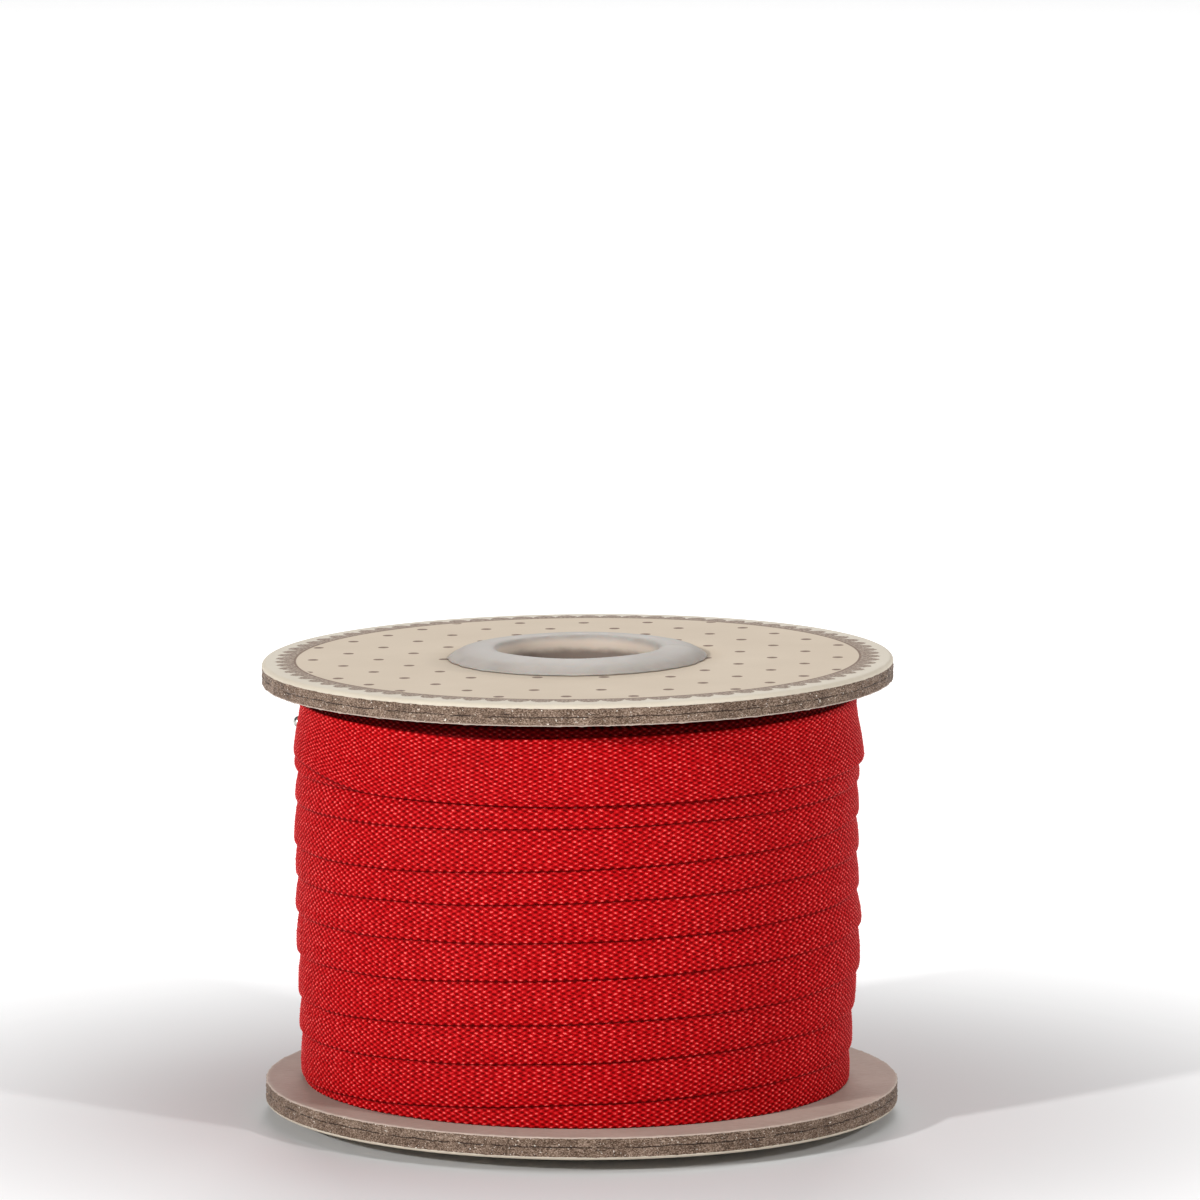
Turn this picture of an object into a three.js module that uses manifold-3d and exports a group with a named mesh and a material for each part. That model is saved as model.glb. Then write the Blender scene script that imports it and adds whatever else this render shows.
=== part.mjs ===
// Roll of woven gift ribbon on a spool of two board discs and a plastic hub, in millimetres, +Z up.
// The origin is under the middle of the whole width, on the surface that the hub's lower lip stands on.
import * as THREE from "three";
import { mergeVertices } from "three/addons/utils/BufferGeometryUtils.js";
import Module from "manifold-3d";

// Spool sizes
const GAP = 0.3;
const TOP_RADIUS = 31.75;
const TOP_THICKNESS = 2.2;
const TOP_TILT = THREE.MathUtils.degToRad(0.7);
const BOTTOM_RADIUS = 31.95;
const BOTTOM_THICKNESS = 2.25;
const BOTTOM_OFFSET = 0.5;
const BETWEEN_DISCS = 40.6;
const DISC_HOLE_RADIUS = 9.9;
const DISC_EDGE_ROUND = 0.15;
const PAPER_ROLL = 0.45;
const DISC_SIDES = 96;

// Hub sizes: the lip's rows run from the bore over the crest and down to the rim.
const BORE_RADIUS = 8;
const TUBE_RADIUS = 9;
const LIP_RISE = 1.35;
const HUB_SIDES = 48;
const LIP_SECTION = [
  { radius: BORE_RADIUS, above: 0.45 },
  { radius: 8.15, above: 0.9 },
  { radius: 8.6, above: 1.25 },
  { radius: 9.2, above: LIP_RISE },
  { radius: 10.3, above: LIP_RISE },
  { radius: 11, above: 1.15 },
  { radius: 11.9, above: 0.85 },
  { radius: 12.7, above: 0.6 },
  { radius: 13.05, above: 0.42 },
  { radius: 12.95, above: GAP },
];

// Heights on the spool's axis, and the sideways step that centres the whole width over the origin
const BOTTOM_LOW = LIP_RISE;
const BOTTOM_FACE = BOTTOM_LOW + BOTTOM_THICKNESS;
const TOP_UNDERSIDE = BOTTOM_FACE + BETWEEN_DISCS;
const TOP_FACE = TOP_UNDERSIDE + TOP_THICKNESS;
const AXIS_X = -(BOTTOM_OFFSET + BOTTOM_RADIUS - TOP_RADIUS) / 2;

// Lower edge of each turn of ribbon, lowest turn first: its height above the bottom disc at the left, front and
// right, its outer radius at the left and right, and how far the turn below it lies in. The first row is under
// the bottom disc's face, and the last three, which have no step, shape the last turn's wide band.
const TURNS = [
  { left: -3.2, front: -1.7, right: -0.7, lipLeft: 27.5, lipRight: 27.4, step: 0.3 },
  { left: 0.8, front: 2.4, right: 3.4, lipLeft: 27.8, lipRight: 27.7, step: 0.35 },
  { left: 5.4, front: 6.6, right: 7.6, lipLeft: 28.0, lipRight: 27.95, step: 0.4 },
  { left: 9.0, front: 10.6, right: 11.6, lipLeft: 28.1, lipRight: 28.5, step: 0.45 },
  { left: 13.5, front: 15.0, right: 16.1, lipLeft: 28.25, lipRight: 28.7, step: 0.5 },
  { left: 17.6, front: 18.7, right: 19.7, lipLeft: 28.3, lipRight: 28.35, step: 0.4 },
  { left: 21.2, front: 22.6, right: 23.6, lipLeft: 28.3, lipRight: 28.3, step: 0.35 },
  { left: 24.4, front: 25.9, right: 27.2, lipLeft: 28.5, lipRight: 28.3, step: 0.4 },
  { left: 28.8, front: 30.0, right: 30.7, lipLeft: 28.4, lipRight: 28.3, step: 0.35 },
  { left: 31.9, front: 32.2, right: 32.8, lipLeft: 28.4, lipRight: 28.8, step: 0.5 },
  { left: 32.8, front: 34.3, right: 35.6, lipLeft: 28.7, lipRight: 28.4, step: 0.25 },
  { left: 36.2, front: 37.4, right: 38.4, lipLeft: 28.1, lipRight: 28.0, step: 0 },
  { left: 39.4, front: 40.6, right: 41.6, lipLeft: 28.0, lipRight: 27.95, step: 0 },
  { left: 43.0, front: 44.4, right: 45.6, lipLeft: 28.0, lipRight: 27.95, step: 0 },
];
const LEFT_ANGLE = 205 / 360;
const FRONT_ANGLE = 270 / 360;
const RIGHT_ANGLE = 342 / 360;
const LAST_EDGE_STARTS_FADING = 10.5;
const LAST_EDGE_ENDS = 10.65;
const EDGE_HEIGHT = 0.12;
const BULGE = 0.12;
const BAND_ROWS = [0.35, 0.7];
const ROWS_PER_TURN = BAND_ROWS.length + 2;
const TURN_STEPS = 60;

// Above the last turn's upper edge an earlier turn shows, lying further in under the top disc.
const UPPER_EDGE = { middle: 39.15, slopeX: 0.012, slopeY: 0.009 };
const UNDER_TURN_RADIUS = 27.45;
const ROLL_BORE_RADIUS = TUBE_RADIUS + GAP;

// Pin that holds the ribbon's end, pushed in just under the top disc at the back left
const PIN_HEAD_RADIUS = 0.62;
const PIN_SHANK_RADIUS = 0.3;
const PIN_LENGTH = 17;
const PIN_POINT = 1.2;
const PIN_HEIGHT = 35.5;
const PIN_ANGLE = THREE.MathUtils.degToRad(171);
const PIN_HEAD_DISTANCE = 28.5;
const PIN_LEAN = THREE.MathUtils.degToRad(20);
const PIN_SIDES = 12;
const PIN_HEAD_STEPS = 6;

const wasm = await Module();
wasm.setup();

function material(color, roughness, metalness = 0) {
  return new THREE.MeshStandardMaterial({ color, roughness, metalness });
}

function toSolid(geometry) {
  const bare = geometry.clone();
  bare.deleteAttribute("normal");
  bare.deleteAttribute("uv");
  const merged = mergeVertices(bare);
  return new wasm.Manifold(
    new wasm.Mesh({
      numProp: 3,
      vertProperties: merged.attributes.position.array,
      triVerts: new Uint32Array(merged.index.array),
    }),
  );
}

function toGeometry(solid) {
  const mesh = solid.getMesh();
  const geometry = new THREE.BufferGeometry();
  geometry.setAttribute("position", new THREE.BufferAttribute(mesh.vertProperties, 3));
  geometry.setIndex(new THREE.BufferAttribute(mesh.triVerts, 1));
  return geometry;
}

// Turns a closed profile of radius and height round the Z axis.
function turned(profile, sides) {
  const points = profile.map(([radius, height]) => new THREE.Vector2(radius, height));
  return new THREE.LatheGeometry(points, sides).rotateX(Math.PI / 2);
}

// Moves each point by what height(x, y, z) says.
function lifted(geometry, height) {
  const position = geometry.attributes.position;
  for (let i = 0; i < position.count; i++) {
    const [x, y, z] = [position.getX(i), position.getY(i), position.getZ(i)];
    position.setZ(i, z + height(x, y, z));
  }
  return geometry;
}

// Board disc with a centre hole, its inner face at height 0. On the other side its paper rolls down over the rim.
function boardDisc(radius, thickness) {
  const profile = [
    [DISC_HOLE_RADIUS, 0],
    [radius - DISC_EDGE_ROUND, 0],
    [radius, DISC_EDGE_ROUND],
    [radius, thickness - PAPER_ROLL],
    [radius - PAPER_ROLL * (1 - Math.SQRT1_2), thickness - PAPER_ROLL * (1 - Math.SQRT1_2)],
    [radius - PAPER_ROLL, thickness],
    [DISC_HOLE_RADIUS, thickness],
    [DISC_HOLE_RADIUS, 0],
  ];
  return turned(profile, DISC_SIDES);
}

// One tube with both ends flared. The upper lip leans with the top disc and the lower one stands level.
function hubGeometry() {
  const upper = LIP_SECTION.map(({ radius, above }) => [radius, TOP_FACE + above]);
  const lower = LIP_SECTION.map(({ radius, above }) => [radius, BOTTOM_LOW - above]);
  const profile = [
    ...lower,
    [TUBE_RADIUS, BOTTOM_LOW - GAP],
    [TUBE_RADIUS, TOP_FACE + GAP],
    ...upper.reverse(),
    lower[0],
  ];
  const lean = (x, y, z) => Math.tan(TOP_TILT) * x * THREE.MathUtils.smoothstep(z, BOTTOM_FACE, TOP_UNDERSIDE);
  return lifted(turned(profile, HUB_SIDES), lean);
}

// A column of the turns table as a smooth curve over the count of turns. Each row gives three points.
function turnCurve(left, front, right) {
  const points = TURNS.flatMap((row, turn) => [
    [turn + LEFT_ANGLE, left(row)],
    [turn + FRONT_ANGLE, front(row)],
    [turn + RIGHT_ANGLE, right(row)],
  ]);
  const [places, values] = [points.map((p) => p[0]), points.map((p) => p[1])];
  const curve = new THREE.CubicInterpolant(places, values, 1);
  const [first, last] = [places[0], places[places.length - 1]];
  return (turn) => curve.evaluate(THREE.MathUtils.clamp(turn, first, last))[0];
}

const edgeHeight = turnCurve((row) => row.left, (row) => row.front, (row) => row.right);
const middleLip = (row) => (row.lipLeft + row.lipRight) / 2;
const lipRadius = turnCurve((row) => row.lipLeft, middleLip, (row) => row.lipRight);
const stepDepth = turnCurve((row) => row.step, (row) => row.step, (row) => row.step);

// The turn below an edge lies in by the step, which fades out where the ribbon's last edge ends.
function footRadius(turn) {
  const faded = THREE.MathUtils.smoothstep(turn, LAST_EDGE_STARTS_FADING, LAST_EDGE_ENDS);
  return lipRadius(turn) - stepDepth(turn) * (1 - faded);
}

// One row of a turn: its foot under the edge, its lip on the edge, then rows up its band to the next edge.
function rollPoint(row, step) {
  const turn = Math.floor(row / ROWS_PER_TURN) + step / TURN_STEPS;
  const kind = row % ROWS_PER_TURN;
  const angle = (2 * Math.PI * step) / TURN_STEPS;
  const low = edgeHeight(turn);
  let radius = kind === 0 ? footRadius(turn) : lipRadius(turn);
  let height = kind === 0 ? low - EDGE_HEIGHT : low;
  if (kind > 1) {
    const share = BAND_ROWS[kind - 2];
    radius = THREE.MathUtils.lerp(radius, footRadius(turn + 1), share) + BULGE * Math.sin(Math.PI * share);
    height = THREE.MathUtils.lerp(low, edgeHeight(turn + 1) - EDGE_HEIGHT, share);
  }
  return [radius * Math.cos(angle), radius * Math.sin(angle), BOTTOM_FACE + height];
}

// The wound surface is one long spiral of rows, so a row's end meets the start of the same row one turn up.
function spiralGeometry() {
  const topRow = (TURNS.length - 1) * ROWS_PER_TURN;
  const at = (row, step) => (step < TURN_STEPS ? row * TURN_STEPS + step : at(row + ROWS_PER_TURN, 0));
  const points = [];
  for (let row = 0; row <= topRow; row++) {
    for (let step = 0; step < TURN_STEPS; step++) {
      points.push(rollPoint(row, step));
    }
  }
  const faces = [];
  for (let row = 0; row < topRow; row++) {
    for (let step = 0; step < TURN_STEPS; step++) {
      const whole = step < TURN_STEPS - 1 || row + 1 + ROWS_PER_TURN <= topRow;
      if (whole) {
        const [a, b, c, d] = [at(row, step), at(row, step + 1), at(row + 1, step + 1), at(row + 1, step)];
        faces.push([a, b, c], [a, c, d]);
      }
    }
  }
  const around = Array.from({ length: TURN_STEPS }, (_, step) => step);
  const rise = Array.from({ length: ROWS_PER_TURN }, (_, row) => row);
  const lowLoop = [...around.map((step) => at(0, step)), ...rise.map((row) => at(ROWS_PER_TURN - row, 0))];
  const highLoop = [
    ...around.map((step) => at(topRow, step)),
    ...rise.map((row) => at(topRow - 1 - row, TURN_STEPS - 1)),
  ];
  const low = points.push([0, 0, -TOP_FACE]) - 1;
  const high = points.push([0, 0, 2 * TOP_FACE]) - 1;
  lowLoop.forEach((p, i) => faces.push([lowLoop[(i + 1) % lowLoop.length], p, low]));
  highLoop.forEach((p, i) => faces.push([p, highLoop[(i + 1) % highLoop.length], high]));
  const geometry = new THREE.BufferGeometry();
  geometry.setAttribute("position", new THREE.Float32BufferAttribute(points.flat(), 3));
  geometry.setIndex(faces.flat());
  return geometry;
}

// What the discs and the last turn's upper edge leave of the wound spiral
function rollLimits() {
  const wide = 2 * BOTTOM_RADIUS;
  const low = BOTTOM_FACE + GAP;
  const edge = BOTTOM_FACE + UPPER_EDGE.middle;
  const top = TOP_UNDERSIDE - GAP;
  const profile = [
    [0, low],
    [wide, low],
    [wide, edge],
    [UNDER_TURN_RADIUS, edge],
    [UNDER_TURN_RADIUS, top],
    [0, top],
  ];
  const capSlope = Math.tan(TOP_TILT);
  const lean = (x, y, z) => {
    if (z < edge - GAP) return 0;
    if (z > edge + GAP / 2) return capSlope * x;
    const near = Math.min(1, UNDER_TURN_RADIUS / Math.hypot(x, y));
    const level = near * (UPPER_EDGE.slopeX * x + UPPER_EDGE.slopeY * y);
    return Math.min(level, top - GAP + capSlope * near * x - edge);
  };
  return lifted(turned(profile, TURN_STEPS), lean);
}

function cylinder(radius, low, high, sides) {
  return turned([[0, low], [radius, low], [radius, high], [0, high]], sides);
}

// Pin along +Z, its round head at 0 and its point at the far end. A margin makes the room that it needs.
function pinGeometry(margin) {
  const head = PIN_HEAD_RADIUS + margin;
  const shank = PIN_SHANK_RADIUS + margin;
  const profile = [[0, -head]];
  const meets = Math.asin(shank / head);
  for (let i = 1; i <= PIN_HEAD_STEPS; i++) {
    const turn = ((Math.PI - meets) * i) / PIN_HEAD_STEPS;
    profile.push([head * Math.sin(turn), -head * Math.cos(turn)]);
  }
  profile.push([shank, PIN_LENGTH - PIN_POINT], [0, PIN_LENGTH + margin]);
  return turned(profile, PIN_SIDES);
}

function placedPin(geometry) {
  const outward = new THREE.Vector3(Math.cos(PIN_ANGLE), Math.sin(PIN_ANGLE), 0);
  const along = new THREE.Vector3(Math.sin(PIN_ANGLE), -Math.cos(PIN_ANGLE), 0);
  const direction = along.multiplyScalar(Math.cos(PIN_LEAN)).addScaledVector(outward, -Math.sin(PIN_LEAN));
  const place = outward.multiplyScalar(PIN_HEAD_DISTANCE).setZ(BOTTOM_FACE + PIN_HEIGHT);
  const turn = new THREE.Quaternion().setFromUnitVectors(new THREE.Vector3(0, 0, 1), direction);
  return geometry.applyQuaternion(turn).translate(place.x, place.y, place.z);
}

function rollGeometry() {
  const wound = toSolid(spiralGeometry()).intersect(toSolid(rollLimits()));
  const bore = toSolid(cylinder(ROLL_BORE_RADIUS, -GAP, TOP_FACE + GAP, HUB_SIDES));
  const pinRoom = toSolid(placedPin(pinGeometry(GAP)));
  return toGeometry(wound.subtract(bore).subtract(pinRoom));
}

function part(name, geometry, look) {
  const mesh = new THREE.Mesh(geometry, look);
  mesh.name = name;
  return mesh;
}

const board = material(0xd8c8b2, 0.85);
const spool = new THREE.Group();
spool.position.x = AXIS_X;
spool.add(part("ribbon_roll", rollGeometry(), material(0xb01018, 0.7)));
spool.add(part("hub", hubGeometry(), material(0xd9d4ce, 0.4)));
spool.add(part("pin", placedPin(pinGeometry(0)), material(0xa9ada6, 0.3, 1)));

const bottomDisc = part("flange_bottom", boardDisc(BOTTOM_RADIUS, BOTTOM_THICKNESS), board);
bottomDisc.position.set(BOTTOM_OFFSET, 0, BOTTOM_FACE);
bottomDisc.rotation.x = Math.PI;
spool.add(bottomDisc);

// The top disc leans a little down to the left.
const topDisc = part("flange_top", boardDisc(TOP_RADIUS, TOP_THICKNESS), board);
topDisc.position.z = TOP_UNDERSIDE;
topDisc.rotation.y = -TOP_TILT;
spool.add(topDisc);

const ribbonRoll = new THREE.Group();
ribbonRoll.add(spool);
export default ribbonRoll;
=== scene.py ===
"""The looks of a roll of narrow red woven ribbon on a spool of two printed board discs with a plastic hub.

Shapes are worked out in millimetres, with heights above the surface that the roll stands on, and become
metres when a mesh is made. A place along the ribbon is a count of turns. Its fraction is the angle round
the spool, from the right over the back to the left and the front.
"""
import math

import bmesh
import bpy
import numpy as np
from mathutils import Matrix, Vector


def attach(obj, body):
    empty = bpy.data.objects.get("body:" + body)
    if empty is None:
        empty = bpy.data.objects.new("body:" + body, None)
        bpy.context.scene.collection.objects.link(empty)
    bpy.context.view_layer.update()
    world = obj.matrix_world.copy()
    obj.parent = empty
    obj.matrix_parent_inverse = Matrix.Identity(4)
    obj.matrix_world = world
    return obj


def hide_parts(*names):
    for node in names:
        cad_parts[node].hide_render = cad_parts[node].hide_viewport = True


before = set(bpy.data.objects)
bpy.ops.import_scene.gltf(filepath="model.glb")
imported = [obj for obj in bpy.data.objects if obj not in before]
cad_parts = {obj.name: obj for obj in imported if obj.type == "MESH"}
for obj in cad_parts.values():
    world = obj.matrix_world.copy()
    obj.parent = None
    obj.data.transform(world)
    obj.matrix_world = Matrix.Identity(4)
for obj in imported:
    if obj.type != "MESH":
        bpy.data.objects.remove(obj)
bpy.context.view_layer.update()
MM = 0.001
TURN = 2 * math.pi

# Spool, as in the part's source
TOP_RADIUS = 31.75
TOP_THICKNESS = 2.2
TOP_TILT = math.radians(0.7)
BOTTOM_RADIUS = 31.95
BOTTOM_THICKNESS = 2.25
BOTTOM_OFFSET = 0.5
BETWEEN_DISCS = 40.6
DISC_HOLE_RADIUS = 9.9
LIP_RISE = 1.35
BORE_RADIUS = 8.0
TUBE_RADIUS = 9.0
BOTTOM_LOW = LIP_RISE
BOTTOM_FACE = BOTTOM_LOW + BOTTOM_THICKNESS
TOP_UNDERSIDE = BOTTOM_FACE + BETWEEN_DISCS
TOP_FACE = TOP_UNDERSIDE + TOP_THICKNESS
AXIS_X = -(BOTTOM_OFFSET + BOTTOM_RADIUS - TOP_RADIUS) / 2

# Lower edge of each turn of ribbon, lowest turn first: its height above the bottom disc at the left, front
# and right, its outer radius at the left and right, and how far the turn below it lies in
LEFT, FRONT, RIGHT, LIP_LEFT, LIP_RIGHT, STEP = range(6)
TURNS = np.array([
    (-3.2, -1.7, -0.7, 27.5, 27.4, 0.3),
    (0.8, 2.4, 3.4, 27.8, 27.7, 0.35),
    (5.4, 6.6, 7.6, 28.0, 27.95, 0.4),
    (9.0, 10.6, 11.6, 28.1, 28.5, 0.45),
    (13.5, 15.0, 16.1, 28.25, 28.7, 0.5),
    (17.6, 18.7, 19.7, 28.3, 28.35, 0.4),
    (21.2, 22.6, 23.6, 28.3, 28.3, 0.35),
    (24.4, 25.9, 27.2, 28.5, 28.3, 0.4),
    (28.8, 30.0, 30.7, 28.4, 28.3, 0.35),
    (31.9, 32.2, 32.8, 28.4, 28.8, 0.5),
    (32.8, 34.3, 35.6, 28.7, 28.4, 0.25),
])
KNOT_ANGLES = np.array([205, 270, 342]) / 360
FIRST_PLACE = 0.25
BULGE = 0.12

# The ribbon's last turn lies on the one before it, along the same lower edge. Its end is at the back left.
LAYER = 0.25
RIBBON_END = 11.478
WIDE_START = 9.63
JOINING = (10.53, 10.63)
JOINING_GAP = 1.42
CLOSE_GAP = 0.03
TURNING_UP = (10.25, 10.5)
SUNK_FROM = (9.53, 9.63)
SUNK_UNTIL = (10.478, 10.57)
CROWN_RADIUS = 28.0
UNDER_TURN_RADIUS = 27.45
CORE_RADIUS = 26.9
CORE_BORE = 9.3
CORE_FOOT = 0.05
CORE_TOP = 39.3
CORE_COLUMNS = 180
CROWN_HEIGHT = 6.0
UPPER_EDGE = 39.15
UPPER_EDGE_SLOPE_X = 0.012
UPPER_EDGE_SLOPE_Y = 0.009
UPPER_EDGE_DIP = 0.3
DIP_PLACE = 0.69
DIP_REACH = 0.045
UNDER_TURN_LOW = 33.0
UNDER_TURN_GAP = 1.0
UNDER_TURN_WOVEN = 4

# Weave of the ribbon: warp threads run along it, and a weft thread crosses them twice in each millimetre
RIBBON_WIDTH = 7.5
RIBBON_THICKNESS = 0.24
WARPS = 28
WEFTS_PER_TURN = 359
SAMPLES_PER_THREAD = 2
FLOAT_RISE = 0.08
WARP_RISE = 0.045
SELVEDGE_LOOP = 0.04
# How far below the next turn's lower edge, in millimetres, the ribbon is darkened as painted shade
EDGE_SHADE = 0.34
EDGE_WAVER = 0.035

# Print on the top disc: a step along a row of dots, a step to the next row, and the middle of one dot
DOT_ROW = (6.59, -0.21)
DOT_SLANT = (3.44, 4.16)
DOT_PLACE = (-16.85, -4.6)
DOT_RADIUS = 0.54
DOTS_REACH = 28.0
BARE_PLACE = (-0.8, -17.0)
BARE_REACH = (10.5, 2.4)
BORDER_INNER = 28.3
BORDER_BAND = 29.0
BORDER_SCALLOP = 1.4
BORDER_SCALLOPS = 80

# Cut sides of the discs, and how far the printed paper rolls over them
DISC_COLUMNS = 1440
PLY_LINE = 0.5
PLY_DEPTH = 0.06
PLY_REACH = 0.06
SIDE_ROUGH = 0.04
SIDE_ROWS = 19
TOP_PAPER_ROLL = 0.45
BOTTOM_PAPER_ROLL = 0.3

# Hub: its columns of points, and along the lip, from the bore over the crest to the rim, the radius and the
# height above the disc's printed face
HUB_COLUMNS = 288
LIP_SECTION = [
    (BORE_RADIUS, -1.0), (BORE_RADIUS, 0.0), (8.04, 0.5), (8.15, 0.85), (8.3, 1.02), (8.5, 1.12),
    (9.0, 1.19), (9.6, 1.2), (10.3, 1.15), (10.9, 1.05), (11.4, 0.93), (11.9, 0.77), (12.3, 0.58),
    (12.65, 0.38), (12.9, 0.2), (13.02, 0.08), (12.95, 0.03), (12.0, 0.02),
]

# Pin
PIN_HEAD_RADIUS = 0.62
PIN_SHANK_RADIUS = 0.3
PIN_SHOWN = 4.0
PIN_HEIGHT = 35.5
PIN_ANGLE = math.radians(171)
PIN_HEAD_DISTANCE = 28.5
PIN_LEAN = math.radians(20)

# Camera, from the photograph: its distance and elevation, and how far it aims up and aside from the middle
CAMERA_DISTANCE = 900.0
CAMERA_ELEVATION = math.radians(9.666)
CAMERA_TARGET_HEIGHT = 24.254
CAMERA_AIM_UP = math.radians(1.764)
CAMERA_AIM_ASIDE = math.radians(-0.142)
CAMERA_ROLL = math.radians(-0.125)
CAMERA_LENS = 267.44

# Softboxes: azimuth, which is 0 on the camera's side and 90 on the right, elevation, distance, width,
# height and power
SOFTBOXES = {
    "left_softbox": (-46, 22, 1.5, 0.08, 0.05, 16.5),
    "right_softbox": (51, 30, 1.5, 0.08, 0.05, 7.2),
    "back_softbox": (180, 35, 1.5, 0.5, 0.5, 7),
    "top_softbox": (70, 76, 2.0, 1.2, 1.2, 11.5),
}
WORLD_LIGHT = 0.11

# Floor, in metres: where its glow starts and is full, its flat middle and the height of its raised rim
GLOW_FROM = 0.033
GLOW_FULL = 0.12
GLOW = 0.62
FLOOR_FLAT = 3.0
FLOOR_RISE = 1.2
FLOOR_STEPS = 24
FLOOR_COLUMNS = 96


def smooth(value, low, high):
    """0 below low and 1 above high, with a smooth rise between."""
    share = np.clip((value - low) / (high - low), 0, 1)
    return share * share * (3 - 2 * share)


def mixed(share, a, b):
    return a + (b - a) * share


def waves(place, seed, slowest, fastest, count=7):
    """A smooth random wave along a line, about 1 high, of so many ups and downs for each unit of place."""
    draw = np.random.default_rng(seed)
    rates = draw.uniform(slowest, fastest, count)
    starts = draw.uniform(0, TURN, count)
    ups = [np.sin(TURN * rate * place + start) for rate, start in zip(rates, starts)]
    return sum(ups) / math.sqrt(count)


def grain(shape, seed, soft):
    """Random numbers in a grid, about 1 high, blurred so many times. Its last axis closes on itself."""
    values = np.random.default_rng(seed).standard_normal(shape)
    for _ in range(soft):
        values = (np.roll(values, 1, -1) + 2 * values + np.roll(values, -1, -1)) / 4
    return values / values.std()


# Curves of the winding

def turn_curve(left, front, right):
    """Columns of the turns table as one smooth curve over the count of turns."""
    places = (np.arange(len(TURNS))[:, None] + KNOT_ANGLES).ravel()
    values = np.stack([left, front, right], 1).ravel()
    slopes = np.gradient(values, places)
    slopes[1:-1] = (values[2:] - values[:-2]) / (places[2:] - places[:-2])

    def at(turn):
        turn = np.clip(turn, places[0], places[-1])
        i = np.clip(np.searchsorted(places, turn, "right") - 1, 0, len(places) - 2)
        step = places[i + 1] - places[i]
        t = (turn - places[i]) / step
        rise = values[i] * (1 + 2 * t) * (1 - t) ** 2 + values[i + 1] * t * t * (3 - 2 * t)
        lean = slopes[i] * t * (1 - t) ** 2 - slopes[i + 1] * t * t * (1 - t)
        return rise + lean * step

    return at


LIP_FRONT = (TURNS[:, LIP_LEFT] + TURNS[:, LIP_RIGHT]) / 2
table_height = turn_curve(TURNS[:, LEFT], TURNS[:, FRONT], TURNS[:, RIGHT])
table_lip = turn_curve(TURNS[:, LIP_LEFT], LIP_FRONT, TURNS[:, LIP_RIGHT])
table_step = turn_curve(TURNS[:, STEP], TURNS[:, STEP], TURNS[:, STEP])


def edge_height(turn):
    """Height of the lower edge above the bottom disc. The first turn's runs below the disc's face."""
    free = table_height(turn)
    if np.max(turn) <= TURNING_UP[0]:
        return free
    gap = CLOSE_GAP + JOINING_GAP * (1 - smooth(turn, *JOINING))
    return mixed(smooth(turn, *TURNING_UP), free, edge_height(turn - 1) + gap)


def lip_radius(turn):
    """Outer radius of the ribbon at its lower edge."""
    return mixed(smooth(turn, *JOINING), table_lip(turn), table_lip(turn - 1))


def sunk(turn):
    """How far in the ribbon lies where its own last turn covers it."""
    return LAYER * smooth(turn, *SUNK_FROM) * (1 - smooth(turn, *SUNK_UNTIL))


def outer_radius(turn, height):
    """Radius of the outer face at a height. Above the next turn's edge it lies under that turn."""
    low = edge_height(turn)
    above = height - low
    lip = lip_radius(turn)
    wide = CROWN_RADIUS + (lip - CROWN_RADIUS) * (1 - smooth(above, 0, CROWN_HEIGHT)) - sunk(turn)
    if np.min(turn) > WIDE_START:
        return wide
    following = np.minimum(turn + 1, RIBBON_END)
    next_low = edge_height(following)
    next_step = np.minimum(table_step(following), table_step(turn + 1))
    under = outer_radius(following, np.maximum(height, next_low)) - next_step
    share = np.clip(above / (next_low - low), 0, 1)
    shingle = mixed(share, lip - sunk(turn), under) + BULGE * np.sin(math.pi * share)
    return np.where(turn > WIDE_START, wide, shingle)


def upper_edge(turn):
    """Height of the upper edge: a ribbon's width above the lower one, or less under the top disc."""
    angle = TURN * turn
    lean = UPPER_EDGE_SLOPE_X * np.cos(angle) + UPPER_EDGE_SLOPE_Y * np.sin(angle)
    dip = UPPER_EDGE_DIP * np.exp(-(((turn % 1 - DIP_PLACE) / DIP_REACH) ** 2))
    top = UPPER_EDGE + CROWN_RADIUS * lean - dip
    free = np.maximum(edge_height(turn), CLOSE_GAP) + RIBBON_WIDTH
    last = smooth(turn, RIBBON_END - 1.1, RIBBON_END - 1)
    return mixed(last, np.minimum(free, top - sunk(turn)), top)


# Meshes

def new_object(name, points, quads, materials, kinds=None):
    """A mesh object from points in millimetres and four-cornered faces. kinds numbers their materials."""
    mesh = bpy.data.meshes.new(name)
    mesh.vertices.add(len(points))
    mesh.vertices.foreach_set("co", (np.asarray(points, np.float32) * MM).ravel())
    mesh.loops.add(quads.size)
    mesh.loops.foreach_set("vertex_index", quads.astype(np.int32).ravel())
    mesh.polygons.add(len(quads))
    mesh.polygons.foreach_set("loop_start", np.arange(0, quads.size, 4, dtype=np.int32))
    mesh.polygons.foreach_set("use_smooth", np.full(len(quads), True))
    if kinds is not None:
        mesh.polygons.foreach_set("material_index", np.asarray(kinds, np.int32))
    mesh.update(calc_edges=True)
    for material in materials:
        mesh.materials.append(material)
    piece = bpy.data.objects.new(name, mesh)
    bpy.context.scene.collection.objects.link(piece)
    return piece


def note(piece, name, values):
    """Keeps three numbers at each point of a mesh, which its material reads."""
    attribute = piece.data.attributes.new(name, "FLOAT_VECTOR", "POINT")
    attribute.data.foreach_set("vector", np.asarray(values, np.float32).ravel())


def grid_quads(rows, columns, rows_close, columns_close):
    """Faces between a grid's points, which are counted row by row."""
    r = np.arange(rows if rows_close else rows - 1)[:, None]
    c = np.arange(columns if columns_close else columns - 1)[None, :]
    below, above = r * columns, ((r + 1) % rows) * columns
    left, right = c + 0 * r, (c + 1) % columns + 0 * r
    return np.stack([below + left, below + right, above + right, above + left], -1).reshape(-1, 4)


def cap_quads(loop):
    """Faces that close the end of a band, between the two sides of its cross-section's loop."""
    count = len(loop)
    return np.array([(loop[i], loop[i + 1], loop[-2 - i], loop[-1 - i]) for i in range(count // 2 - 1)])


def placed(piece, slot, *nodes):
    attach(piece, "root")
    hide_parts(*nodes)
    return piece


# Materials

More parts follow.
